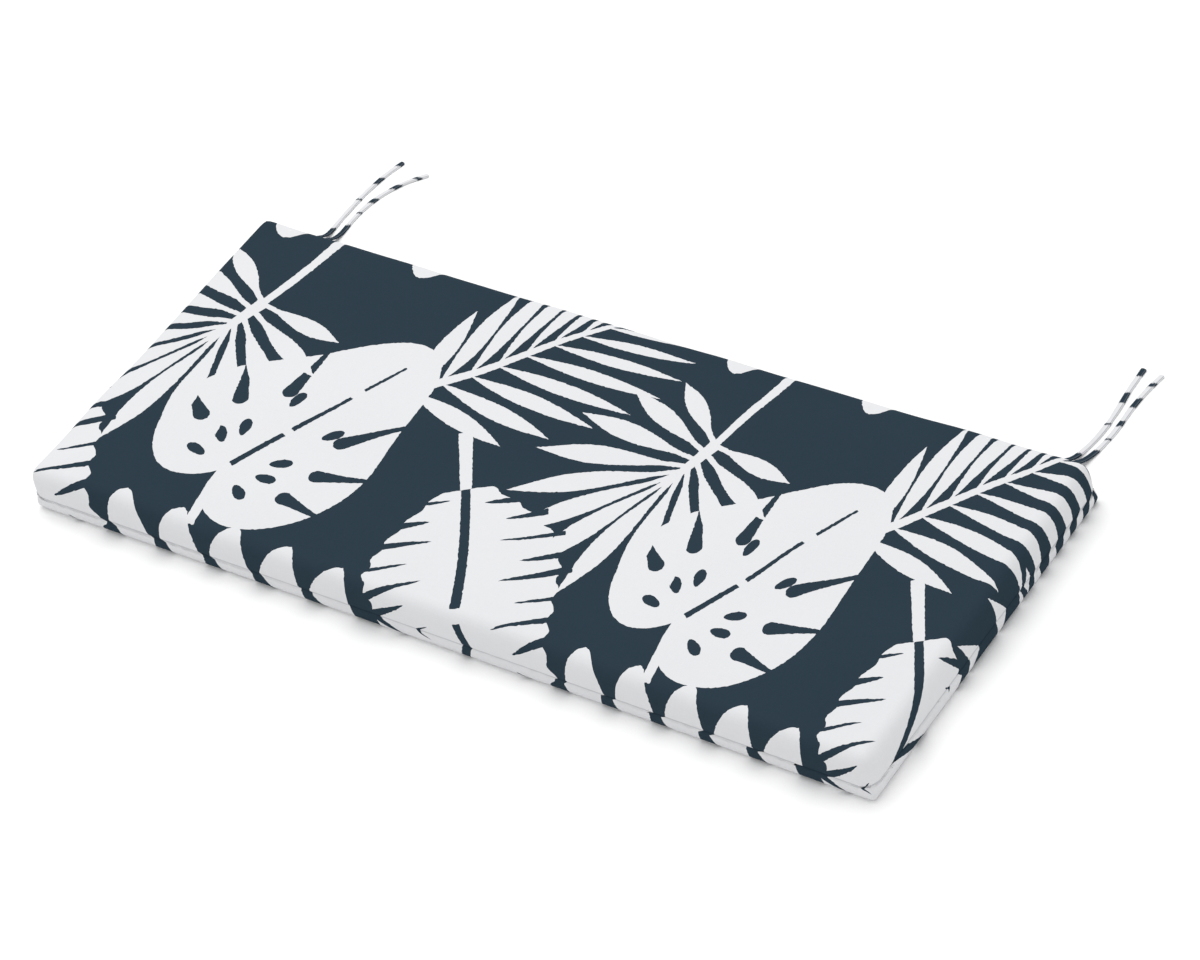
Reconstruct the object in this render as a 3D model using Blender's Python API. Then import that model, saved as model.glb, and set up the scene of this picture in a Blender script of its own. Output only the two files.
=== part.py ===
# A bench cushion: two cloth panels sewn round a thick soft filling, with two pairs of
# flat ties caught in the back seam. It lies on its back, seam at mid-height.
# Metres, +Z up, origin under the middle of the cushion. The front edge faces -Y.
import bpy
import bmesh
from math import copysign, cos, pi, radians, sqrt
from mathutils import Vector

# The cushion, seam to seam
LENGTH = 1.200
DEPTH = 0.500
SEAM_HEIGHT = 0.0235         # the seam above the surface that the cushion lies on
EDGE_HEIGHT = 0.058          # top of the rolled edge
CROWN = 0.007                # how far the middle stands above the rolled edge
TOP_ROLL = 0.024             # width of the roll from the seam up to the top
CORNER_RADIUS = 0.022        # the seam's corners, seen from above; the underside's are sharp
DRAW_IN_FRONT = 0.0020       # how far the long sides pull in between their corners
DRAW_IN_END = 0.0015         # the same at the two ends
SEAM_GROOVE = 0.0012         # depth of the groove that the stitches pull in
SEAM_GAP = 0.0016            # its height

# Grid of each panel
ROLL_STEPS = 5               # rows of faces over the width of the top's roll
FOOT_STEPS = 3               # of those rows, the ones from the seam down to the flat underside
MIDDLE_COLUMNS = 24
MIDDLE_ROWS = 10

# The roll from the seam down to the surface ends on a line of that grid, about 10 mm in
BOTTOM_ROLL = TOP_ROLL * (1 - cos(pi / 2 * FOOT_STEPS / ROLL_STEPS))

# The ties: narrow folded strips
TIE_WIDTH = 0.007
TIE_THICKNESS = 0.0025
TIE_GAP = 0.0003             # between a tie and the seam that holds it
TIE_STEP = 2 * TIE_WIDTH     # from one point of its line to the next
TIE_REST = TIE_THICKNESS / 2 + 0.0001

# Where each tie's line runs behind the back seam: x, distance behind the seam, height.
TIE_ROUTES = {
    "tie_left_outer": [
        (-0.5450, 0.000, SEAM_HEIGHT), (-0.5455, 0.012, 0.0228), (-0.5470, 0.026, 0.0155),
        (-0.5490, 0.040, 0.0062), (-0.5510, 0.055, 0.0019), (-0.5525, 0.078, TIE_REST),
        (-0.5530, 0.105, TIE_REST), (-0.5520, 0.135, TIE_REST), (-0.5480, 0.167, TIE_REST),
        (-0.5400, 0.199, TIE_REST)],
    "tie_left_inner": [
        (-0.5340, 0.000, SEAM_HEIGHT), (-0.5340, 0.012, 0.0228), (-0.5345, 0.026, 0.0152),
        (-0.5350, 0.040, 0.0060), (-0.5355, 0.056, 0.0018), (-0.5370, 0.080, TIE_REST),
        (-0.5355, 0.108, TIE_REST), (-0.5280, 0.138, TIE_REST), (-0.5140, 0.166, TIE_REST),
        (-0.4930, 0.190, TIE_REST)],
    "tie_right_inner": [
        (0.5340, 0.000, SEAM_HEIGHT), (0.5345, 0.012, 0.0228), (0.5360, 0.026, 0.0152),
        (0.5385, 0.042, 0.0058), (0.5415, 0.060, 0.0018), (0.5450, 0.083, TIE_REST),
        (0.5460, 0.108, TIE_REST), (0.5445, 0.138, TIE_REST), (0.5415, 0.170, TIE_REST),
        (0.5405, 0.206, TIE_REST)],
    "tie_right_outer": [
        (0.5450, 0.000, SEAM_HEIGHT), (0.5460, 0.012, 0.0228), (0.5480, 0.026, 0.0155),
        (0.5510, 0.042, 0.0060), (0.5550, 0.062, 0.0018), (0.5585, 0.086, TIE_REST),
        (0.5595, 0.112, TIE_REST), (0.5590, 0.142, TIE_REST), (0.5610, 0.174, TIE_REST),
        (0.5660, 0.204, TIE_REST)],
}

# Cloth colours, linear: navy print ground on the cushion, white on the ties
NAVY = (0.028, 0.046, 0.067, 1.0)
WHITE = (0.82, 0.82, 0.83, 1.0)
CLOTH_ROUGHNESS = 0.9


def clear_scene():
    for old in list(bpy.data.objects):
        bpy.data.objects.remove(old)


def cloth_material(name, color):
    material = bpy.data.materials.new(name)
    material.use_nodes = True
    shader = material.node_tree.nodes["Principled BSDF"]
    shader.inputs["Base Color"].default_value = color
    shader.inputs["Roughness"].default_value = CLOTH_ROUGHNESS
    shader.inputs["Metallic"].default_value = 0.0
    return material


def grid_lines(half, middle_count):
    # Even lines across the middle, and finer ones over the roll at each end
    roll = [TOP_ROLL * (1 - cos(pi / 2 * step / ROLL_STEPS)) for step in range(ROLL_STEPS)]
    inner = half - TOP_ROLL
    middle = [-inner + 2 * inner * step / middle_count for step in range(middle_count + 1)]
    return [inset - half for inset in roll] + middle + [half - inset for inset in reversed(roll)]


def rise(inset, width):
    # Quarter of an ellipse: 0 at the seam, 1 once the roll is over
    left = 1 - min(inset / width, 1)
    return sqrt(max(0.0, 1 - left * left))


def edge_rise(x, y, width):
    return rise(LENGTH / 2 - abs(x), width) * rise(DEPTH / 2 - abs(y), width)


def rounded(x, y, radius, amount):
    # Pulls the square corner of the grid into a round one
    along = (abs(x) - (LENGTH / 2 - radius)) / radius
    across = (abs(y) - (DEPTH / 2 - radius)) / radius
    if along <= 0 or across <= 0:
        return x, y
    round_x = LENGTH / 2 - radius + radius * along * sqrt(1 - across * across / 2)
    round_y = DEPTH / 2 - radius + radius * across * sqrt(1 - along * along / 2)
    new_x = abs(x) + amount * (round_x - abs(x))
    new_y = abs(y) + amount * (round_y - abs(y))
    return copysign(new_x, x), copysign(new_y, y)


def drawn_in(x, y):
    # The sides pull in between their corners
    along = 2 * x / LENGTH
    across = 2 * y / DEPTH
    return x - DRAW_IN_END * along * (1 - across ** 2), y - DRAW_IN_FRONT * across * (1 - along ** 2)


def top_point(x, y):
    bulge = (1 - (2 * x / LENGTH) ** 4) * (1 - (2 * y / DEPTH) ** 2)
    above_seam = EDGE_HEIGHT + CROWN * bulge - SEAM_HEIGHT - SEAM_GAP / 2
    z = SEAM_HEIGHT + SEAM_GAP / 2 + above_seam * edge_rise(x, y, TOP_ROLL)
    return Vector((*drawn_in(*rounded(x, y, CORNER_RADIUS, 1)), z))


def bottom_point(x, y):
    below_seam = SEAM_HEIGHT - SEAM_GAP / 2
    z = below_seam * (1 - edge_rise(x, y, BOTTOM_ROLL))
    return Vector((*drawn_in(*rounded(x, y, CORNER_RADIUS, z / below_seam)), z))


def add_panel(mesh, columns, rows, point):
    # A grid of faces; returns the verts of its rim, in order round it
    verts = [[mesh.verts.new(point(x, y)) for x in columns] for y in rows]
    for near, far in zip(verts, verts[1:]):
        for corners in zip(near, near[1:], far[1:], far):
            mesh.faces.new(corners if point is top_point else corners[::-1])
    right = [row[-1] for row in verts]
    left = [row[0] for row in verts]
    return verts[0][:-1] + right[:-1] + verts[-1][:0:-1] + left[:0:-1]


def groove_ring(mesh, rim):
    # The stitched line, pulled in from the two panels' rims
    ring = []
    count = len(rim)
    for index, vert in enumerate(rim):
        along = rim[(index + 1) % count].co - rim[index - 1].co
        outward = Vector((along.y, -along.x, 0)).normalized()
        place = vert.co - outward * SEAM_GROOVE
        ring.append(mesh.verts.new((place.x, place.y, SEAM_HEIGHT)))
    return ring


def join_rings(mesh, lower, upper):
    for index in range(len(lower)):
        mesh.faces.new((lower[index - 1], lower[index], upper[index], upper[index - 1]))


def build_cushion(material):
    columns = grid_lines(LENGTH / 2, MIDDLE_COLUMNS)
    rows = grid_lines(DEPTH / 2, MIDDLE_ROWS)
    mesh = bmesh.new()
    top_rim = add_panel(mesh, columns, rows, top_point)
    bottom_rim = add_panel(mesh, columns, rows, bottom_point)
    seam = groove_ring(mesh, top_rim)
    join_rings(mesh, bottom_rim, seam)
    join_rings(mesh, seam, top_rim)
    data = bpy.data.meshes.new("cushion")
    mesh.to_mesh(data)
    mesh.free()
    data.shade_smooth()
    data.set_sharp_from_angle(angle=radians(50))
    data.materials.append(material)
    cushion = bpy.data.objects.new("cushion", data)
    bpy.context.scene.collection.objects.link(cushion)


def curve_point(route, index, part):
    # Catmull-Rom: a smooth line through the route's points
    last = len(route) - 1
    before = route[max(index - 1, 0)]
    start, end = route[index], route[index + 1]
    after = route[min(index + 2, last)]
    return 0.5 * (2 * start + (end - before) * part
                  + (2 * before - 5 * start + 4 * end - after) * part ** 2
                  + (3 * start - before - 3 * end + after) * part ** 3)


def smooth_line(route, step):
    # Even points, about a step apart, read from the smooth line
    fine = 40
    dense = [curve_point(route, index, part / fine)
             for index in range(len(route) - 1) for part in range(fine)] + [route[-1]]
    total = sum((b - a).length for a, b in zip(dense, dense[1:]))
    count = round(total / step)
    line = [dense[0]]
    walked = 0.0
    for a, b in zip(dense, dense[1:]):
        walked += (b - a).length
        if walked >= len(line) * total / count and len(line) < count:
            line.append(b)
    return line + [dense[-1]]


def build_tie(name, route, material):
    start = DEPTH / 2 + TIE_GAP
    points = [Vector((x, start + behind, height)) for x, behind, height in route]
    line = smooth_line(points, TIE_STEP)
    data = bpy.data.curves.new(name, "CURVE")
    data.dimensions = "3D"
    data.twist_mode = "Z_UP"
    data.bevel_depth = TIE_THICKNESS / 2
    data.extrude = (TIE_WIDTH - TIE_THICKNESS) / 2
    data.bevel_resolution = 2
    data.use_fill_caps = True
    spline = data.splines.new("POLY")
    spline.points.add(len(line) - 1)
    for point, place in zip(spline.points, line):
        point.co = (*place, 1)
        point.tilt = radians(90)     # lays the strip on its flat side
    data.materials.append(material)
    tie = bpy.data.objects.new(name, data)
    bpy.context.scene.collection.objects.link(tie)


def main():
    clear_scene()
    build_cushion(cloth_material("cushion_cloth", NAVY))
    for name, route in TIE_ROUTES.items():
        build_tie(name, route, cloth_material(name + "_cloth", WHITE))


main()
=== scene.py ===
# Bench cushion: two panels of printed cloth sewn round a thick soft filling, with two pairs
# of flat ties caught in the back seam. Metres, +Z up, the front edge faces -Y.
from math import log, pi, radians

import bpy
import numpy as np
from mathutils import Matrix, Vector
from mathutils.geometry import delaunay_2d_cdt
from mathutils.kdtree import KDTree


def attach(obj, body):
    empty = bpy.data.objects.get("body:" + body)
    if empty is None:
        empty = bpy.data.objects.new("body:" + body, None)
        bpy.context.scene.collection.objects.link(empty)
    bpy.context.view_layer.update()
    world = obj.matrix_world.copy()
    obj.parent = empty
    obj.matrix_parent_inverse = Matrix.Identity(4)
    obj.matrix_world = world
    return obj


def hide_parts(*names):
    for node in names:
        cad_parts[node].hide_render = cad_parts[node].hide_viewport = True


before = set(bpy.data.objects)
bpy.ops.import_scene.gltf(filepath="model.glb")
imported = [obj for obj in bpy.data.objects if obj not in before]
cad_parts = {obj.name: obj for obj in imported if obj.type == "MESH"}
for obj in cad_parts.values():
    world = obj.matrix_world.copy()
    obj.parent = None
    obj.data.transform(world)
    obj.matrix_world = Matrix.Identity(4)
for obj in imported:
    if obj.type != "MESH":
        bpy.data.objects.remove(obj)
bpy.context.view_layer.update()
print("frame loaded")

cameraPlan = {
    "place": (2.7260, -2.6796, 3.5146),
    "azimuth": 44.55,        # degrees round from looking along +Y
    "elevation": 42.47,
    "roll": -15.74,          # the camera is held tilted
    "lens": 133.26,
    "sensor": 36.0,
}

studioPlan = {
    "floorSize": 40.0,
    "floorColor": (0.97, 0.97, 0.97, 1),
    "skyColor": (1.0, 1.0, 1.0, 1),
    "skyStrength": 0.80,
    "lampPlace": (-1.5, 1.6, 7.6),
    "lampSize": 7.0,
    "lampPower": 300.0,
}


def makeCamera(plan):
    turn = (Matrix.Rotation(radians(plan["azimuth"]), 4, "Z")
            @ Matrix.Rotation(radians(90 - plan["elevation"]), 4, "X")
            @ Matrix.Rotation(radians(plan["roll"]), 4, "Z"))
    bpy.ops.object.camera_add(location=plan["place"], rotation=turn.to_euler())
    camera = bpy.context.object
    camera.data.sensor_fit = "HORIZONTAL"
    camera.data.sensor_width = plan["sensor"]
    camera.data.lens = plan["lens"]
    bpy.context.scene.camera = camera


def makeStudio(plan):
    bpy.ops.mesh.primitive_plane_add(size=plan["floorSize"], location=(0, 0, 0))
    floor = bpy.context.object
    floor.name = "floor"
    paint = bpy.data.materials.new("floorPaint")
    paint.use_nodes = True
    shader = paint.node_tree.nodes["Principled BSDF"]
    shader.inputs["Base Color"].default_value = plan["floorColor"]
    shader.inputs["Roughness"].default_value = 0.9
    shader.inputs["Specular IOR Level"].default_value = 0.1
    floor.data.materials.append(paint)
    world = bpy.data.worlds.new("studioSky")
    world.use_nodes = True
    sky = world.node_tree.nodes["Background"]
    sky.inputs["Color"].default_value = plan["skyColor"]
    sky.inputs["Strength"].default_value = plan["skyStrength"]
    bpy.context.scene.world = world
    bpy.ops.object.light_add(type="AREA", location=plan["lampPlace"])
    lamp = bpy.context.object
    lamp.name = "softLamp"
    lamp.data.shape = "DISK"
    lamp.data.size = plan["lampSize"]
    lamp.data.energy = plan["lampPower"]
    lamp.rotation_euler = (-Vector(plan["lampPlace"])).to_track_quat("-Z", "Y").to_euler()
    bpy.context.scene.view_settings.view_transform = "Standard"


bpy.ops.object.select_all(action="DESELECT")
makeCamera(cameraPlan)
makeStudio(studioPlan)
print("camera, floor and light made")


class Wire:
    # A socket with arithmetic: each operator adds its Math node
    def __init__(self, tree, socket=None):
        self.tree = tree
        self.socket = socket

    def node(self, kind, settings=None, inputs=None, output=0):
        made = self.tree.nodes.new(kind)
        for name, value in (settings or {}).items():
            setattr(made, name, value)
        for name, value in (inputs or {}).items():
            if isinstance(value, Wire):
                self.tree.links.new(value.socket, made.inputs[name])
            else:
                made.inputs[name].default_value = value
        return Wire(self.tree, made.outputs[output])

    def maths(self, operation, *values):
        return self.node("ShaderNodeMath", {"operation": operation}, dict(enumerate(values)))

    def __add__(self, other):
        return self.maths("ADD", self, other)

    def __radd__(self, other):
        return self.maths("ADD", other, self)

    def __sub__(self, other):
        return self.maths("SUBTRACT", self, other)

    def __rsub__(self, other):
        return self.maths("SUBTRACT", other, self)

    def __mul__(self, other):
        return self.maths("MULTIPLY", self, other)

    def __rmul__(self, other):
        return self.maths("MULTIPLY", other, self)

    def __truediv__(self, other):
        return self.maths("DIVIDE", self, other)

    def __abs__(self):
        return self.maths("ABSOLUTE", self)

    def sine(self):
        return self.maths("SINE", self)

    def fade(self, start, end, low, high):
        # Runs smoothly from low to high while the value goes from start to end
        return self.node("ShaderNodeMapRange", {"interpolation_type": "SMOOTHSTEP"},
                         {"Value": self, "From Min": start, "From Max": end,
                          "To Min": low, "To Max": high})

    def between(self, first, second):
        # The value as the share of the second colour
        return self.node("ShaderNodeMix", {"data_type": "RGBA"},
                         {0: self, 6: first, 7: second}, 2)

    def noise(self, x, y, detail):
        place = self.node("ShaderNodeCombineXYZ", None, {0: x, 1: y})
        return self.node("ShaderNodeTexNoise", None,
                         {"Vector": place, "Scale": 1.0, "Detail": detail})

    def parts(self):
        made = self.node("ShaderNodeSeparateXYZ", None, {0: self}).socket.node
        return [Wire(self.tree, socket) for socket in made.outputs]


clothPlan = {
    "navyLow": (0.0190, 0.0338, 0.0485, 1),    # the darkest and lightest thread of each colour
    "navyHigh": (0.0280, 0.0472, 0.0645, 1),
    "whiteLow": (0.655, 0.662, 0.682, 1),
    "whiteHigh": (0.745, 0.748, 0.762, 1),
    "navySeamAndShade": (0.0100, 0.0180, 0.0270, 1),   # the thin line where a seam closes: partly the seam itself, partly painted shade of its groove
    "whiteSeamAndShade": (0.400, 0.410, 0.430, 1),
    # the tie's stitched line: partly the stitching, partly painted shade along it
    "tieStitchAndShade": (0.190, 0.200, 0.220, 1),
    "threadPitch": 0.00062,                    # one thread over the next
    "weaveDepth": 0.00007,
    "slubLength": 0.014,                       # how far a thicker stretch of thread runs
    "patchSize": 0.16,                         # broad, faint changes of tone
    "roughness": 0.88,
    "specular": 0.015,
}


def clothMaterial(name, stitch, colors, seamLineAndShade):
    # stitch gives the distance to the nearest stitched line, colors the base colour, and the last
    # argument the seam's colour, which also paints shade of its groove
    plan = clothPlan
    material = bpy.data.materials.new(name)
    material.use_nodes = True
    shader = material.node_tree.nodes["Principled BSDF"]
    start = Wire(material.node_tree)
    x, y = start.node("ShaderNodeUVMap", {"uv_map": "cloth"}).parts()[:2]
    turn = pi / plan["threadPitch"]
    weave = (x * turn).sine() * (y * turn).sine() * 0.5 + 0.5
    long, fine = 1 / plan["slubLength"], 0.8 / plan["threadPitch"]
    threads = start.noise(x * long, y * fine, 1.0) + start.noise(x * fine, y * long, 1.0)
    broad = start.noise(x / plan["patchSize"], y / plan["patchSize"], 2.0)
    tone = threads * 0.40 + broad * 0.30 - 0.05 + weave * 0.10
    # Darkens the colour along the seam: partly the seam's own line, partly painted shade of its
    # groove
    line = stitch(x, y).fade(0.0003, 0.0011, 0.55, 0.0)
    color = line.between(colors(start, tone), seamLineAndShade)
    material.node_tree.links.new(color.socket, shader.inputs["Base Color"])
    height = weave * 0.6 + threads * 0.4
    bump = start.node("ShaderNodeBump", None, {
        "Strength": 0.55, "Distance": plan["weaveDepth"], "Height": height})
    material.node_tree.links.new(bump.socket, shader.inputs["Normal"])
    shader.inputs["Roughness"].default_value = plan["roughness"]
    shader.inputs["Specular IOR Level"].default_value = plan["specular"]
    return material


def navyColor(start, tone):
    return tone.between(clothPlan["navyLow"], clothPlan["navyHigh"])


def whiteColor(start, tone):
    return tone.between(clothPlan["whiteLow"], clothPlan["whiteHigh"])


def tieColor(start, tone):
    # The strips are cut from the same print, so they carry scraps of both colours
    printed = start.node("ShaderNodeAttribute", {"attribute_name": "navyShare"}, None, "Fac")
    return printed.between(whiteColor(start, tone), navyColor(start, tone))


def evenPoints(dense, step):
    # The same line with its points an even step apart
    lengths = np.linalg.norm(np.diff(dense, axis=0), axis=1)
    walked = np.concatenate([[0], np.cumsum(lengths)])
    places = np.linspace(0, walked[-1], max(2, round(walked[-1] / step) + 1))
    return np.stack([np.interp(places, walked, axis) for axis in dense.T], axis=1)


def smoothLine(points, step):
    # Catmull-Rom: a smooth line through the given points
    points = np.array(points, float)
    ends = np.vstack([points[:1], points, points[-1:]])
    part = np.linspace(0, 1, 40, endpoint=False)[:, None]
    dense = []
    for before, start, end, after in zip(ends, ends[1:], ends[2:], ends[3:]):
        dense.append(0.5 * (2 * start + (end - before) * part
                            + (2 * before - 5 * start + 4 * end - after) * part ** 2
                            + (3 * start - before - 3 * end + after) * part ** 3))
    return evenPoints(np.vstack(dense + [points[-1:]]), step)


tiePlan = {
    "width": 0.007,
    "thickness": 0.0024,
    "step": 0.001,
    "behindSeam": 0.2503,        # where the back seam lets go of it
    "floorGap": 0.0001,
    "stitchAcross": 0.00245,     # the stitched line, near the open edge
    "lean": 5,                   # degrees that it rolls to either side
    "widthVaries": 0.035,
    "thicknessVaries": 0.06,
    "endRound": (0.35, 0.0015),  # how much its ends shrink, and over what length
    # Half of the strip's section, as shares of half its width and height, from the folded
    # edge over the top to the open edge
    "section": [(-1.00, 0.00), (-0.95, 0.55), (-0.80, 0.90), (-0.40, 1.00), (0.10, 1.00),
                (0.48, 0.97), (0.61, 0.90), (0.70, 0.62), (0.79, 0.88), (0.90, 0.80),
                (0.98, 0.45), (0.90, 0.00)],
    # x, distance behind the seam, height
    "routes": {
        "tie_left_outer": [
            (-0.5450, 0.000, 0.0235), (-0.5455, 0.012, 0.0228), (-0.5470, 0.026, 0.0155),
            (-0.5490, 0.040, 0.0062), (-0.5510, 0.055, 0.0019), (-0.5525, 0.078, 0.00135),
            (-0.5530, 0.105, 0.00135), (-0.5520, 0.135, 0.00135), (-0.5480, 0.167, 0.00135),
            (-0.5400, 0.199, 0.00135)],
        "tie_left_inner": [
            (-0.5340, 0.000, 0.0235), (-0.5340, 0.012, 0.0228), (-0.5345, 0.026, 0.0152),
            (-0.5350, 0.040, 0.0060), (-0.5355, 0.056, 0.0018), (-0.5370, 0.080, 0.00135),
            (-0.5355, 0.108, 0.00135), (-0.5280, 0.138, 0.00135), (-0.5140, 0.166, 0.00135),
            (-0.4930, 0.190, 0.00135)],
        "tie_right_inner": [
            (0.5340, 0.000, 0.0235), (0.5345, 0.012, 0.0228), (0.5360, 0.026, 0.0152),
            (0.5385, 0.042, 0.0058), (0.5415, 0.060, 0.0018), (0.5450, 0.083, 0.00135),
            (0.5460, 0.108, 0.00135), (0.5445, 0.138, 0.00135), (0.5415, 0.170, 0.00135),
            (0.5405, 0.206, 0.00135)],
        "tie_right_outer": [
            (0.5450, 0.000, 0.0235), (0.5460, 0.012, 0.0228), (0.5480, 0.026, 0.0155),
            (0.5510, 0.042, 0.0060), (0.5550, 0.062, 0.0018), (0.5585, 0.086, 0.00135),
            (0.5595, 0.112, 0.00135), (0.5590, 0.142, 0.00135), (0.5610, 0.174, 0.00135),
            (0.5660, 0.204, 0.00135)],
    },
    "lengths": {"tie_left_outer": 0.206, "tie_left_inner": 0.208,
                "tie_right_inner": 0.212, "tie_right_outer": 0.211},
    # Navy scraps: millimetres along the strip from and to, and the slant of their ends
    "scraps": {
        "tie_left_outer": [(18, 64, -0.4), (121, 124, -0.3), (155, 169, -0.6), (196, 210, -0.7)],
        "tie_left_inner": [(20, 76, -0.4), (99, 102, -0.4), (122, 132, -0.8), (156, 168, -1.0),
                           (189, 196, -1.0)],
        "tie_right_inner": [(8, 58, -0.4), (113, 116, -0.4), (151, 169, -0.3), (198, 220, -0.4)],
        "tie_right_outer": [(8, 72, -0.5), (91, 94, -0.5), (116, 126, -0.4), (149, 166, -0.5),
                            (188, 195, -0.6)],
    },
}


def waves(rng, count, shortest, longest):
    # A smooth unevenness: sines of several lengths, its size about 1
    lengths = rng.uniform(shortest, longest, count)
    phases = rng.uniform(0, 2 * pi, count)
    return lambda place: sum(np.sin(2 * pi * np.asarray(place) / length + phase)
                             for length, phase in zip(lengths, phases)) / (count / 2) ** 0.5


def makeTie(name, rng):
    plan = tiePlan
    route = [(x, plan["behindSeam"] + behind, height)
             for x, behind, height in plan["routes"][name]]
    line = smoothLine(route, plan["step"])
    count = len(line)
    along = np.gradient(line, axis=0)
    along /= np.linalg.norm(along, axis=1)[:, None]
    side = np.cross(along, (0, 0, 1))
    side /= np.linalg.norm(side, axis=1)[:, None]
    up = np.cross(side, along)
    walked = np.arange(count) * plan["step"]
    lean = radians(plan["lean"]) * waves(rng, 4, 0.05, 0.12)(walked)
    side, up = (side * np.cos(lean)[:, None] + up * np.sin(lean)[:, None],
                up * np.cos(lean)[:, None] - side * np.sin(lean)[:, None])
    half = plan["width"] / 2 * (1 + plan["widthVaries"] * waves(rng, 5, 0.02, 0.06)(walked))
    tall = plan["thickness"] / 2
    tall = tall * (1 + plan["thicknessVaries"] * waves(rng, 5, 0.02, 0.05)(walked))
    section = plan["section"] + [(across, -height) for across, height in plan["section"][-2:0:-1]]
    verts, places = [], []
    shrinkage, endLength = plan["endRound"]
    for index in range(count):
        end = min(index, count - 1 - index) * plan["step"]
        shrink = 1 - shrinkage * max(0, 1 - end / endLength) ** 2
        for across, height in section:
            verts.append(line[index] + side[index] * half[index] * across * shrink
                         + up[index] * tall[index] * height * shrink)
            places.append((walked[index], across * plan["width"] / 2))
    verts = np.array(verts)
    verts[:, 2] = np.maximum(verts[:, 2], plan["floorGap"])
    around = len(section)
    faces = [(row + step, row + (step + 1) % around,
              row + around + (step + 1) % around, row + around + step)
             for row in range(0, (count - 1) * around, around) for step in range(around)]
    faces.append(tuple(range(around))[::-1])
    faces.append(tuple(range((count - 1) * around, count * around)))
    data = bpy.data.meshes.new(name + "_cloth")
    data.from_pydata(verts.tolist(), [], [tuple(reversed(face)) for face in faces])
    places = np.array(places)
    uv = data.uv_layers.new(name="cloth")
    corners = np.empty(len(data.loops), int)
    data.loops.foreach_get("vertex_index", corners)
    uv.data.foreach_set("uv", places[corners].ravel())
    navyShare = np.zeros(len(verts))
    ragged = 0.0005 * rng.normal(size=len(verts))
    for start, end, slant in plan["scraps"][name]:
        slid = places[:, 0] + slant * places[:, 1] + ragged
        inside = np.minimum(slid - start / 1000, end / 1000 - slid)
        navyShare = np.maximum(navyShare, np.clip(inside / 0.0007 + 0.5, 0, 1))
    attribute = data.attributes.new("navyShare", "FLOAT", "POINT")
    attribute.data.foreach_set("value", navyShare)
    data.shade_smooth()
    data.set_sharp_from_angle(angle=radians(55))
    tie = bpy.data.objects.new(name + "_cloth", data)
    bpy.context.scene.collection.objects.link(tie)
    data.materials.append(tieCloth)
    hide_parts(name)
    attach(tie, "root")


def tieStitch(x, y):
    # A little finer than the cushion's seam
    return abs(y - tiePlan["stitchAcross"]) * 1.6


tieCloth = clothMaterial("tieCloth", tieStitch, tieColor, clothPlan["tieStitchAndShade"])
for number, tieName in enumerate(tiePlan["routes"]):
    makeTie(tieName, np.random.default_rng(40 + number))
print("ties made")


# The cushion's cloth is measured over the panel from its middle: p along, q across. The
# sizes are those of the solid that it replaces
cushionPlan = {
    "length": 1.200,
    "depth": 0.500,
    "seamHeight": 0.0235,
    "edgeHeight": 0.0635,        # top of the rolled edge
    "crown": 0.0005,             # the pressure of the filling adds the rest
    "topRoll": 0.0210,           # width of the roll from the seam up to the top
    "footRoll": 0.0099,          # and from the seam down to the surface
    "rollFullness": 2.6,         # 2 is an ellipse; above it the roll is fuller
    "cornerRadius": 0.022,
    "cornerFullness": 2.5,       # how well the filling reaches into the corners
    "drawInFront": 0.0020,
    "drawInEnd": 0.0015,
    "seamGap": 0.0016,
    "grooveDepth": 0.0013,       # how far the stitches pull the seam in
    "grooveWidth": 0.0012,
    "puckerDepth": 0.00022,
    "puckerReach": 0.011,
    "uneven": 0.0005,
}


def rollTable(width, height):
    # A quarter of a full oval: distance over the cloth from the seam, inset and rise
    turn = np.linspace(0, pi / 2, 4000)
    power = 2 / cushionPlan["rollFullness"]
    inset = width * (1 - np.clip(np.cos(turn), 0, 1) ** power)
    rise = np.sin(turn) ** power
    steps = np.hypot(np.diff(inset), height * np.diff(rise))
    return np.concatenate([[0], np.cumsum(steps)]), inset, rise


topRise = cushionPlan["edgeHeight"] - cushionPlan["seamHeight"] - cushionPlan["seamGap"] / 2
footRise = cushionPlan["seamHeight"] - cushionPlan["seamGap"] / 2
topTable = rollTable(cushionPlan["topRoll"], topRise)
footTable = rollTable(cushionPlan["footRoll"], footRise)
halfPlan = (cushionPlan["length"] / 2, cushionPlan["depth"] / 2)
rollCloth = topTable[0][-1]
halfCloth = tuple(half - cushionPlan["topRoll"] + rollCloth for half in halfPlan)


def overRoll(place, axis, table):
    # How far in from the seam's line a point of the cloth lies, and its share of the height
    walked, inset, rise = table
    fromSeam = halfCloth[axis] - np.abs(place)
    spare = (halfPlan[axis] - inset[-1]) / (halfCloth[axis] - walked[-1])
    pastRoll = np.maximum(fromSeam - walked[-1], 0)
    return np.interp(fromSeam, walked, inset) + pastRoll * spare, np.interp(fromSeam, walked, rise)


def roundCorners(x, y, amount):
    # Pulls the panel's square corners into round ones
    radius = cushionPlan["cornerRadius"]
    along = np.maximum((np.abs(x) - (halfPlan[0] - radius)) / radius, 0)
    across = np.maximum((np.abs(y) - (halfPlan[1] - radius)) / radius, 0)
    pullX = radius * along * (1 - np.sqrt(1 - across ** 2 / 2)) * amount
    pullY = radius * across * (1 - np.sqrt(1 - along ** 2 / 2)) * amount
    return x - np.sign(x) * pullX, y - np.sign(y) * pullY


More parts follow.
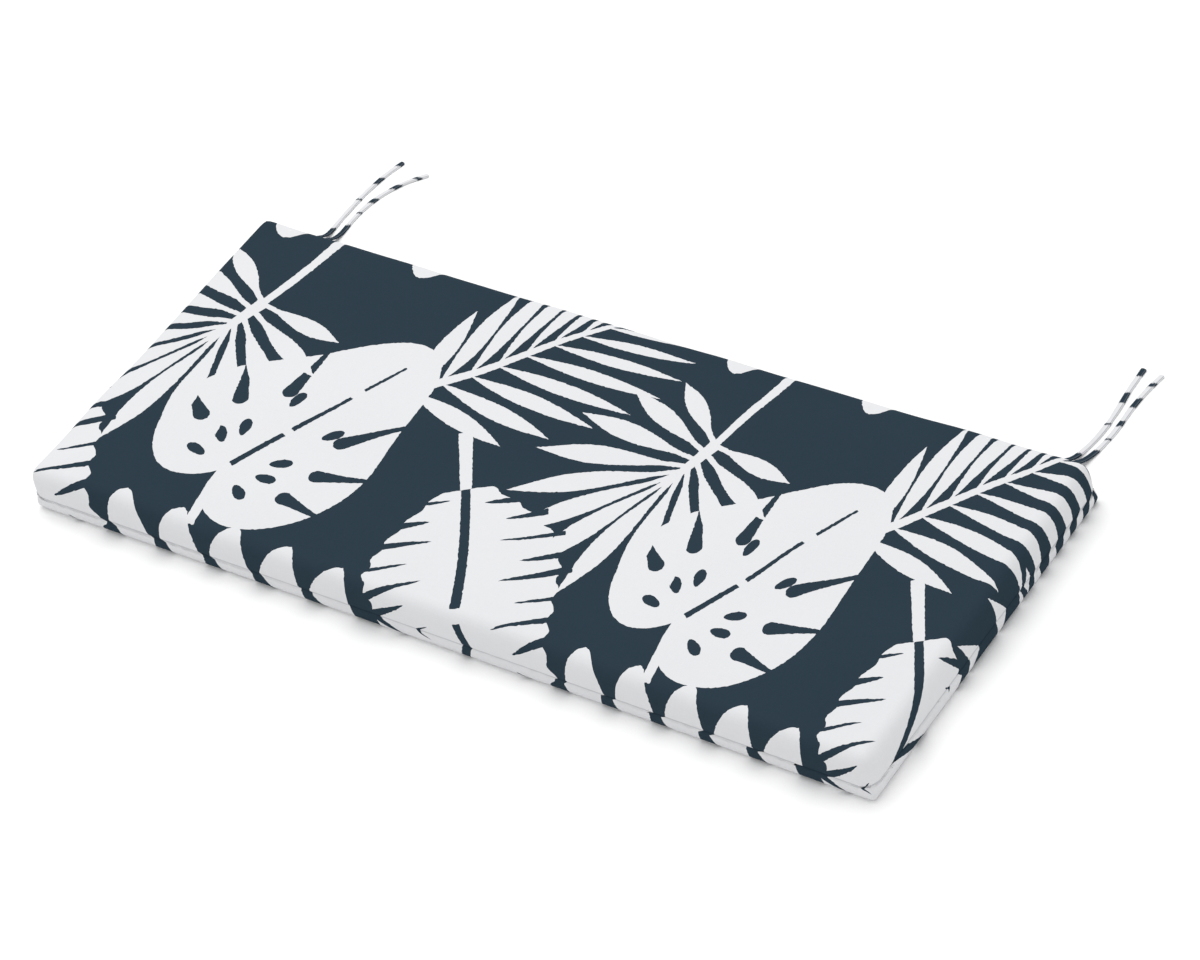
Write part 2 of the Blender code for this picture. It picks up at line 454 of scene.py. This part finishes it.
def plainPlace(p, q, top):
    # Where a point of the cloth lies before the filling pushes it out
    plan = cushionPlan
    table = topTable if top else footTable
    insetX, riseX = overRoll(p, 0, table)
    insetY, riseY = overRoll(q, 1, table)
    x = np.sign(p) * (halfPlan[0] - insetX)
    y = np.sign(q) * (halfPlan[1] - insetY)
    full = plan["cornerFullness"]
    rise = np.maximum(0, 1 - ((1 - riseX) ** full + (1 - riseY) ** full) ** (1 / full))
    along, across = x / halfPlan[0], y / halfPlan[1]
    if top:
        bulge = plan["crown"] * (1 - along ** 4) * (1 - across ** 2)
        z = plan["seamHeight"] + plan["seamGap"] / 2 + (topRise + bulge) * rise
        x, y = roundCorners(x, y, 1.0)
    else:
        z = footRise * (1 - rise)
        x, y = roundCorners(x, y, 1 - rise)
    x = x - plan["drawInEnd"] * along * (1 - across ** 2)
    y = y - plan["drawInFront"] * across * (1 - along ** 2)
    return np.stack([x, y, z], axis=1)


def smoothShare(value, start, end):
    share = np.clip((value - start) / (end - start), 0, 1)
    return share * share * (3 - 2 * share)


puffPlan = {
    "pitch": 0.011,
    "pressure": 0.25,
    "frames": 20,
    "reach": 0.0042,             # no point moves much further than this
    # The wadding holds the cloth out near the seam: how far in none and all of it moves
    "rollHeld": (0.020, 0.110),
    "tension": 40.0,
    "bending": 5.0,
    "quality": 6,
    "mass": 0.3,
}


def clothGrid():
    columns = round(2 * halfCloth[0] / puffPlan["pitch"]) + 1
    rows = round(2 * halfCloth[1] / puffPlan["pitch"]) + 1
    p, q = np.meshgrid(np.linspace(-halfCloth[0], halfCloth[0], columns),
                       np.linspace(-halfCloth[1], halfCloth[1], rows))
    return p, q


def swell():
    # The filling's pressure on the cloth, as a cloth simulation of the closed cover. The
    # result is how far each point of the top panel's grid moves
    plan = puffPlan
    p, q = clothGrid()
    rows, columns = p.shape
    full = plainPlace(p.ravel(), q.ravel(), True)
    foot = plainPlace(p.ravel(), q.ravel(), False)
    number = np.arange(rows * columns).reshape(rows, columns)
    onRim = np.ones((rows, columns), bool)
    onRim[1:-1, 1:-1] = False
    below = np.where(onRim, number, -1)
    below[~onRim] = len(full) + np.arange((~onRim).sum())
    verts = np.vstack([full, foot[~onRim.ravel()]])
    faces = []
    for grid, flip in ((number, False), (below, True)):
        for row in range(rows - 1):
            for column in range(columns - 1):
                corners = (grid[row, column], grid[row, column + 1],
                           grid[row + 1, column + 1], grid[row + 1, column])
                faces.append([int(corner) for corner in (corners[::-1] if flip else corners)])
    data = bpy.data.meshes.new("cover")
    data.from_pydata(verts.tolist(), [], faces)
    cover = bpy.data.objects.new("cover", data)
    bpy.context.scene.collection.objects.link(cover)
    bpy.ops.object.select_all(action="DESELECT")
    bpy.context.view_layer.objects.active = cover
    cover.select_set(True)
    held = cover.vertex_groups.new(name="held")
    held.add([int(i) for i in number[onRim]] + list(range(len(full), len(verts))), 1.0, "REPLACE")
    cloth = cover.modifiers.new("Cloth", "CLOTH")
    settings = cloth.settings
    settings.quality = plan["quality"]
    settings.mass = plan["mass"]
    settings.tension_stiffness = plan["tension"]
    settings.compression_stiffness = plan["tension"]
    settings.shear_stiffness = plan["tension"] / 3
    settings.bending_stiffness = plan["bending"]
    settings.use_pressure = True
    settings.uniform_pressure_force = plan["pressure"]
    settings.effector_weights.gravity = 0
    settings.vertex_group_mass = "held"
    cloth.collision_settings.use_collision = False
    for moment in range(1, plan["frames"] + 1):
        bpy.context.scene.frame_set(moment)
    bpy.ops.object.modifier_apply(modifier="Cloth")
    bpy.context.scene.frame_set(1)
    after = np.empty(len(verts) * 3)
    cover.data.vertices.foreach_get("co", after)
    move = after.reshape(-1, 3)[:len(full)] - full
    size = np.linalg.norm(move, axis=1)[:, None] + 1e-9
    print("cloth moved up to", round(float(size.max()), 4), "m, middle",
          [round(float(a), 4) for a in move[number[rows // 2, columns // 2]]])
    move *= plan["reach"] * np.tanh(size / plan["reach"]) / size
    fromSeam = np.minimum(halfCloth[0] - np.abs(p), halfCloth[1] - np.abs(q)).ravel()
    move *= smoothShare(fromSeam, *plan["rollHeld"])[:, None]
    bpy.data.objects.remove(cover)
    return move.reshape(rows, columns, 3)


swelling = swell()
print("cloth swollen over its filling")


def readGrid(grid, p, q):
    # Catmull-Rom between the grid's points, both ways
    rows, columns = grid.shape[:2]
    padded = np.pad(grid, ((1, 2), (1, 2), (0, 0)), mode="edge")
    across = (np.clip(q / halfCloth[1], -1, 1) + 1) / 2 * (rows - 1)
    along = (np.clip(p / halfCloth[0], -1, 1) + 1) / 2 * (columns - 1)
    row, column = across.astype(int), along.astype(int)

    def weights(t):
        return (-t + 2 * t ** 2 - t ** 3, 2 - 5 * t ** 2 + 3 * t ** 3,
                t + 4 * t ** 2 - 3 * t ** 3, -t ** 2 + t ** 3)
    result = 0
    for stepY, weightY in enumerate(weights(across - row)):
        for stepX, weightX in enumerate(weights(along - column)):
            result = result + padded[row + stepY, column + stepX] * (weightX * weightY / 4)[:, None]
    return result


unevenAlong = waves(np.random.default_rng(11), 6, 0.14, 0.42)
unevenAcross = waves(np.random.default_rng(12), 6, 0.12, 0.35)
unevenSlant = waves(np.random.default_rng(13), 6, 0.10, 0.30)
puckerLong = waves(np.random.default_rng(14), 9, 0.011, 0.030)
puckerShort = waves(np.random.default_rng(15), 9, 0.011, 0.030)


def filledPlace(p, q, top):
    # The same with the filling's swell and its slight unevenness
    place = plainPlace(p, q, top)
    if top:
        fromSeam = np.minimum(halfCloth[0] - np.abs(p), halfCloth[1] - np.abs(q))
        share = smoothShare(fromSeam, 0, rollCloth)
        lumps = unevenAlong(p + 0.4 * q) + unevenAcross(q - 0.3 * p) + unevenSlant(p + q)
        place = place + readGrid(swelling, p, q)
        place[:, 2] += cushionPlan["uneven"] * share * lumps
    return place


def normalsOf(placing, p, q, top, step, margin):
    # The surface's direction, from how it changes a small step each way
    p = np.clip(p, -halfCloth[0] + margin, halfCloth[0] - margin)
    q = np.clip(q, -halfCloth[1] + margin, halfCloth[1] - margin)
    along = placing(p + step, q, top) - placing(p - step, q, top)
    across = placing(p, q + step, top) - placing(p, q - step, top)
    normal = np.cross(along, across) * (1 if top else -1)
    return normal / np.linalg.norm(normal, axis=1)[:, None]


def sewnPlace(p, q, top):
    # The finished surface: the seam's groove and the puckers beside it
    plan = cushionPlan
    p = np.clip(p, -halfCloth[0], halfCloth[0])
    q = np.clip(q, -halfCloth[1], halfCloth[1])
    fromEnd, fromSide = halfCloth[0] - np.abs(p), halfCloth[1] - np.abs(q)
    fromSeam = np.minimum(fromEnd, fromSide)
    outward = normalsOf(filledPlace, p, q, top, 0.0004, 0.0010)
    closing = np.exp(-(fromSeam / plan["grooveWidth"]) ** 2)
    pucker = (puckerLong(p + (0.004 if top else 0)) * np.exp(-fromSide / plan["puckerReach"])
              + puckerShort(q) * np.exp(-fromEnd / plan["puckerReach"]))
    ease = 1 - np.exp(-(fromSeam / 0.0015) ** 2)
    place = filledPlace(p, q, top)
    place += outward * (plan["puckerDepth"] * pucker * ease - plan["grooveDepth"] * closing)[:, None]
    place[:, 2] += (-1 if top else 1) * plan["seamGap"] / 2 * closing
    if not top:
        place[:, 2] = np.maximum(place[:, 2], 0)
    return place


# The print: white leaves on navy, of four ordinary kinds. Each leaf is grown from a few round
# numbers by the functions below. Places and sizes in millimetres of flat cloth, u along and v
# across; all of it comes again every repeat
printPlan = {
    "repeat": 650.0,
    "shift": (4.0, -6.0),        # where the panel was cut from the printed cloth
    "stretch": 0.107,            # the cloth is drawn out more and more towards the left end
    "outlineStep": 2.8,
    "ragged": 0.28,              # the screen leaves slightly uneven edges
}

fanPalm = {
    "hub": (180, 110),
    "count": 13,
    "directions": (140, 350),    # of the first and the last blade, in degrees
    "lengths": (125, 225),       # at the two ends of the fan and in its middle
    "widths": (24, 31),
    "rib": (255, 60),            # the middle blades start further along it: direction, length
    "ribWidth": (18, 10),
    "bladeRoot": 7,
    "stalk": [(180, 110), (195, 200), (205, 310)],
    "stalkWidth": (10, 15),
}

monstera = {
    "base": (300, -145),
    "heading": 65,
    "reach": (130, 70),          # how far out the edge is on average, and what it gains ahead
    "point": (90, 20),           # how far the leaf's point stands out, and its breadth in degrees
    "notch": 26,                 # breadth in degrees of the notch at the stalk
    "cuts": (25, 50, 75),        # directions on either side of the heading
    "cutWidth": (6, 20),
    "cutEnd": 0.60,              # share of the reach that a cut stops at
    # Direction on either side, and share of the reach
    "holes": [(18, 0.55), (38, 0.36), (63, 0.36), (100, 0.42)],
    "holeSize": (28, 14),
    "ribs": [(0.03, 0.28), (0.32, 0.60), (0.66, 0.86)],    # as shares of the leaf's length
    "ribWidth": (9, 3),
    "stalk": [(300, -140), (312, -235)],
    "stalkWidth": (13, 13),
}

featherPalm = {
    "root": (420, 28),
    "heading": 51,
    "length": 350,
    "stemWidth": (15, 6),
    "pairs": 9,
    "span": (0.07, 0.87),        # share of the stem that carries leaflets
    "sides": [(44, -25), (-66, 30)],    # each side's angle to the stem, and its change to the tip
    "longest": 205,
    "widths": (27, 9),
}

bananaLeaf = {
    "stem": [(-115, 15), (-60, -65)],
    "stemWidth": (17, 14),
    "root": (-60, -65),
    "heading": -63,
    "length": 300,
    "bow": 12,
    "ribWidth": (11, 13),
    "ribPieces": [(0.0, 0.66), (0.69, 1.0)],
    "halfWidths": (30, 118),     # at the stem, and where it is widest
    "widestAt": 140,
    "scallop": 3.0,
    "splits": 8,
    "splitTilt": 6,
}

# Round leaf ends that come in over the panel's edges: root, direction, length, width
edgeLeaves = [((232 + 62 * step, -345), 97 - 7 * step, 128, 54) for step in range(5)]
edgeLeaves += [((u, 350), -90, 125, 66) for u in (130, 325)]


def mix(pair, share):
    return pair[0] + (pair[1] - pair[0]) * share


def heading(degrees):
    return np.array([np.cos(radians(degrees)), np.sin(radians(degrees))])


def turned(outline, degrees):
    turn = radians(degrees)
    spin = np.array([[np.cos(turn), np.sin(turn)], [-np.sin(turn), np.cos(turn)]])
    return np.asarray(outline) @ spin


def blade(root, direction, length, width, bow, fullest, slender=1.0, rootWidth=0):
    # A lance-shaped blade: its half width follows a sine that peaks where it is fullest
    share = np.linspace(0, 1, 41)
    swing = np.clip(np.sin(pi * share ** (log(0.5) / log(fullest))), 0, 1)
    half = width / 2 * swing ** slender
    half = np.where(share < fullest, np.maximum(half, rootWidth / 2), half)
    middle = bow * np.sin(pi * share)
    upper = np.stack([length * share, middle + half], axis=1)
    lower = np.stack([length * share, middle - half], axis=1)
    return turned(np.vstack([lower, upper[-2:0:-1]]), direction) + root


def sidesOf(line):
    along = np.gradient(line, axis=0)
    along /= np.linalg.norm(along, axis=1)[:, None]
    return np.stack([-along[:, 1], along[:, 0]], axis=1)


def ribbon(points, startWidth, endWidth):
    line = smoothLine(points, 4)
    half = np.linspace(startWidth, endWidth, len(line))[:, None] / 2
    side = sidesOf(line)
    return np.vstack([line - side * half, (line + side * half)[::-1]])


def oval(u, v, length, width, turn):
    # A little fuller at one end
    around = np.linspace(0, 2 * pi, 36, endpoint=False)
    shape = np.stack([length / 2 * np.cos(around),
                      width / 2 * np.sin(around) * (1 + 0.18 * np.cos(around))], axis=1)
    return turned(shape, turn) + (u, v)


def wedge(start, end, startWidth, endWidth):
    # A cut with a round end and hollow sides
    start, end = np.array(start, float), np.array(end, float)
    along = (end - start) / np.linalg.norm(end - start)
    side = np.array([-along[1], along[0]])
    around = np.linspace(-pi / 2, pi / 2, 13)[:, None]
    cap = end + endWidth / 2 * (np.sin(around) * side + (np.cos(around) - 1) * along)
    share = np.linspace(0, 1, 8, endpoint=False)[:, None]
    half = (startWidth + (endWidth - startWidth) * share ** 1.7) / 2
    middle = start + (end - along * endWidth / 2 - start) * share
    return np.vstack([middle - side * half, cap, (middle + side * half)[::-1]])


def split(inner, direction, length, width):
    # A tear that opens towards the leaf's edge
    share = np.linspace(0, 1, 20)
    half = width / 2 * share ** 0.55
    upper = np.stack([length * share, half], axis=1)
    lower = np.stack([length * share, -half], axis=1)
    return turned(np.vstack([lower, upper[:0:-1]]), direction) + inner


def fanPalmShapes():
    plan = fanPalm
    ribEnd = plan["hub"] + plan["rib"][1] * heading(plan["rib"][0])
    shapes = [("white", ribbon(plan["stalk"], *plan["stalkWidth"])),
              ("white", ribbon([plan["hub"], ribEnd], *plan["ribWidth"]))]
    for share in np.linspace(0, 1, plan["count"]):
        middle = np.sin(pi * share)
        root = mix((np.array(plan["hub"]), ribEnd), middle)
        shapes.append(("white", blade(root, mix(plan["directions"], share),
                                      mix(plan["lengths"], middle), mix(plan["widths"], middle),
                                      0, 0.6, 1.15, plan["bladeRoot"])))
    return shapes


def monsteraReach(turn):
    # How far out the leaf's edge is, by the angle from its heading
    plan = monstera
    reach = plan["reach"][0] + plan["reach"][1] * np.cos(np.radians(turn))
    reach = reach + plan["point"][0] * np.exp(-(turn / plan["point"][1]) ** 2)
    return reach * (1 - 0.95 * np.exp(-((180 - abs(turn)) / plan["notch"]) ** 2))


def monsteraShapes():
    plan = monstera
    turns = np.linspace(-180, 180, 241)[:-1]

    def spot(turn, share):
        return plan["base"] + monsteraReach(turn) * share * heading(plan["heading"] + turn)
    shapes = [("white", np.array([spot(turn, 1) for turn in turns]))]
    for side in (-1, 1):
        for turn in plan["cuts"]:
            shapes.append(("navy", wedge(spot(side * turn, 1.08), spot(side * turn, plan["cutEnd"]),
                                         *plan["cutWidth"])))
        for turn, share in plan["holes"]:
            shapes.append(("navy", oval(*spot(side * turn, share), *plan["holeSize"],
                                        plan["heading"] + side * turn)))
    for start, end in plan["ribs"]:
        shapes.append(("navy", ribbon([spot(0, start), spot(0, end)],
                                      mix(plan["ribWidth"], start), mix(plan["ribWidth"], end))))
    shapes.append(("white", ribbon(plan["stalk"], *plan["stalkWidth"])))
    return shapes


def featherPalmShapes():
    plan = featherPalm
    along = heading(plan["heading"])
    shapes = [("white", ribbon([plan["root"], plan["root"] + plan["length"] * along],
                               *plan["stemWidth"]))]
    for share in np.linspace(*plan["span"], plan["pairs"]):
        length = plan["longest"] * np.sin(pi * (0.22 + 0.74 * share))
        for angle, change in plan["sides"]:
            shapes.append(("white", blade(plan["root"] + plan["length"] * share * along,
                                          plan["heading"] + angle + change * share, length,
                                          mix(plan["widths"], share), 0, 0.5)))
    return shapes


def bananaShapes():
    plan = bananaLeaf
    step = 3.0
    walked = np.arange(0, plan["length"], step)
    arch = plan["bow"] * np.sin(pi * walked / plan["length"])
    rib = turned(np.stack([walked, arch], axis=1), plan["heading"]) + plan["root"]
    side = sidesOf(rib)
    half = mix(plan["halfWidths"], np.sin(pi / 2 * np.minimum(walked / plan["widestAt"], 1)))
    edges = [rib + side * (sign * (half + plan["scallop"] * np.sin(walked / 4.4 + sign)))[:, None]
             for sign in (-1, 1)]
    shapes = [("white", np.vstack([edges[0], edges[1][::-1]]))]
    for sign, turn in ((1, 90), (-1, -90)):
        for number in range(plan["splits"]):
            place = round((20 + 32 * number + 6 * sign) / step)
            inner = (0.40, 0.58)[number % 2] * half[place]
            shapes.append(("navy", split(
                rib[place] + side[place] * sign * inner,
                plan["heading"] + turn + plan["splitTilt"] * (1 + 0.5 * np.sin(2 * number)),
                half[place] - inner + 16, 10 + 3 * np.sin(1.9 * number + sign))))
    for start, end in plan["ribPieces"]:
        piece = rib[round(start * len(rib)):round(end * len(rib))]
        shapes.append(("navy", ribbon(piece[::3], *plan["ribWidth"])))
    shapes.append(("white", ribbon(plan["stem"], *plan["stemWidth"])))
    return shapes


def printedShapes():
    # Painted one over another
    shapes = monsteraShapes() + fanPalmShapes() + bananaShapes() + featherPalmShapes()
    return shapes + [("white", blade(*leaf, 0, 0.5, 0.6)) for leaf in edgeLeaves]


def toCloth(outline):
    # From the print's own millimetres to the panel's p and q
    stretch = printPlan["stretch"]
    u, v = (outline + printPlan["shift"]).T / 1000
    return np.stack([(np.sqrt(1 + 4 * stretch * u) - 1) / (2 * stretch), v], axis=1)


def paintedOutlines():
    rng = np.random.default_rng(5)
    outlines = []
    for color, outline in printedShapes():
        closed = evenPoints(np.vstack([outline, outline[:1]]), printPlan["outlineStep"])[:-1]
        closed = closed + rng.normal(0, printPlan["ragged"], closed.shape)
        for count in (-1, 0, 1):
            moved = toCloth(closed + (count * printPlan["repeat"], 0))
            low, high = moved.min(axis=0), moved.max(axis=0)
            if low[0] > halfCloth[0] or high[0] < -halfCloth[0]:
                continue
            if low[1] > halfCloth[1] or high[1] < -halfCloth[1]:
                continue
            ahead = np.roll(moved, -1, axis=0)
            area = np.sum(moved[:, 0] * ahead[:, 1] - ahead[:, 0] * moved[:, 1])
            outlines.append((color, moved if area > 0 else moved[::-1]))
    return outlines


meshPlan = {
    # Distance from the seam and spacing along it, of the rows of points near the seam
    "rows": [(0.0006, 0.0034), (0.0012, 0.0034), (0.0020, 0.0034), (0.0032, 0.0034),
             (0.0050, 0.0040), (0.0072, 0.0045), (0.0100, 0.0050), (0.0130, 0.0055),
             (0.0165, 0.0060), (0.0200, 0.0060), (0.0238, 0.0065), (0.0278, 0.0065),
             (0.0318, 0.0070), (0.0360, 0.0070), (0.0402, 0.0075), (0.0446, 0.0080),
             (0.0492, 0.0080)],
    "middle": 0.0090,
    "clear": 0.0017,             # a point this close to a printed edge is left out
}


def rowPoints(inset, spacing):
    # Points round the panel, in order
    high = np.array([half - inset for half in halfCloth])
    corners = np.array([(-1, -1), (1, -1), (1, 1), (-1, 1)]) * high
    sides = [evenPoints(np.array([start, end]), spacing)[:-1]
             for start, end in zip(corners, np.roll(corners, -1, axis=0))]
    return np.vstack(sides)


def insideOutline(outline, places):
    # Which places the outline winds round
    x, y = places[:, :1], places[:, 1:]
    startX, startY = outline.T
    endX, endY = np.roll(outline, -1, axis=0).T
    crossed = (startY <= y) != (endY <= y)
    height = np.where(endY == startY, 1, endY - startY)
    crossing = startX + (y - startY) * (endX - startX) / height
    return np.sum((crossed & (x < crossing)) * np.sign(endY - startY), axis=1) != 0


def printedCloth():
    # The panel as triangles that follow the print's edges, and each triangle's colour
    outlines = paintedOutlines()
    points = [rowPoints(0, meshPlan["rows"][0][1])] + [outline for color, outline in outlines]
    inner = [rowPoints(*row) for row in meshPlan["rows"]]
    high = [half - meshPlan["rows"][-1][0] - meshPlan["middle"] * 0.8 for half in halfCloth]
    middle = [np.linspace(-h, h, round(2 * h / meshPlan["middle"]) + 1) for h in high]
    inner.append(np.stack(np.meshgrid(*middle), axis=-1).reshape(-1, 2))
    tree = KDTree(sum(len(outline) for outline in points))
    for number, (p, q) in enumerate(np.vstack(points)):
        tree.insert((p, q, 0), number)
    tree.balance()
    loose = [place for place in np.vstack(inner) if tree.find((*place, 0))[2] > meshPlan["clear"]]
    edges, start = [], 0
    for outline in points:
        numbers = np.arange(len(outline))
        edges += (start + np.stack([numbers, np.roll(numbers, -1)], axis=1)).tolist()
        start += len(outline)
    everyPoint = np.vstack(points + [np.array(loose)]) * 1000
    flat, _, triangles, *_ = delaunay_2d_cdt(
        [Vector(place) for place in everyPoint.tolist()], edges, [], 0, 0.001, False)
    flat, triangles = np.array(flat) / 1000, np.array(triangles)
    centres = flat[triangles].mean(axis=1)
    kept = np.all(np.abs(centres) < halfCloth, axis=1)
    triangles, centres = triangles[kept], centres[kept]
    colors = np.zeros(len(triangles), int)
    for color, outline in outlines:
        low, high = outline.min(axis=0), outline.max(axis=0)
        near = np.flatnonzero(np.all((centres > low) & (centres < high), axis=1))
        colors[near[insideOutline(outline, centres[near])]] = 1 if color == "white" else 0
    used, renamed = np.unique(triangles, return_inverse=True)
    return flat[used], renamed.reshape(-1, 3), colors


def makeCushion():
    flatPoints, triangles, colors = printedCloth()
    p, q = flatPoints.T
    onSeam = (halfCloth[0] - np.abs(p) < 1e-5) | (halfCloth[1] - np.abs(q) < 1e-5)
    count = len(flatPoints)
    below = np.where(onSeam, np.arange(count), count + np.cumsum(~onSeam) - 1)
    inside = ~onSeam
    verts = np.vstack([sewnPlace(p, q, True), sewnPlace(p[inside], q[inside], False)])
    normals = np.vstack([normalsOf(sewnPlace, p, q, True, 0.0003, 0.0004),
                         normalsOf(sewnPlace, p[inside], q[inside], False, 0.0003, 0.0004)])
    seam = np.flatnonzero(onSeam)
    verts[seam, 2] = cushionPlan["seamHeight"]
    normals[seam, 2] = 0
    normals[seam] /= np.linalg.norm(normals[seam], axis=1)[:, None]
    foot = below[triangles[:, ::-1]]
    data = bpy.data.meshes.new("cushion_cover")
    data.from_pydata(verts.tolist(), [], np.vstack([triangles, foot]).tolist())
    data.materials.append(navyCloth)
    data.materials.append(whiteCloth)
    data.polygons.foreach_set("material_index", np.tile(colors, 2))
    places = np.vstack([flatPoints, flatPoints[inside]])
    uv = data.uv_layers.new(name="cloth")
    corners = np.empty(len(data.loops), int)
    data.loops.foreach_get("vertex_index", corners)
    uv.data.foreach_set("uv", places[corners].ravel())
    data.shade_smooth()
    data.normals_split_custom_set_from_vertices(normals.tolist())
    cushion = bpy.data.objects.new("cushion_cover", data)
    bpy.context.scene.collection.objects.link(cushion)
    print("cushion has", len(data.polygons), "faces")
    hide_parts("cushion")
    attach(cushion, "root")


def seamDistance(x, y):
    fromEnd, fromSide = halfCloth[0] - abs(x), halfCloth[1] - abs(y)
    return x.maths("MINIMUM", fromEnd, fromSide)


navyCloth = clothMaterial("navyCloth", seamDistance, navyColor, clothPlan["navySeamAndShade"])
whiteCloth = clothMaterial("whiteCloth", seamDistance, whiteColor, clothPlan["whiteSeamAndShade"])
makeCushion()
print("cushion made")
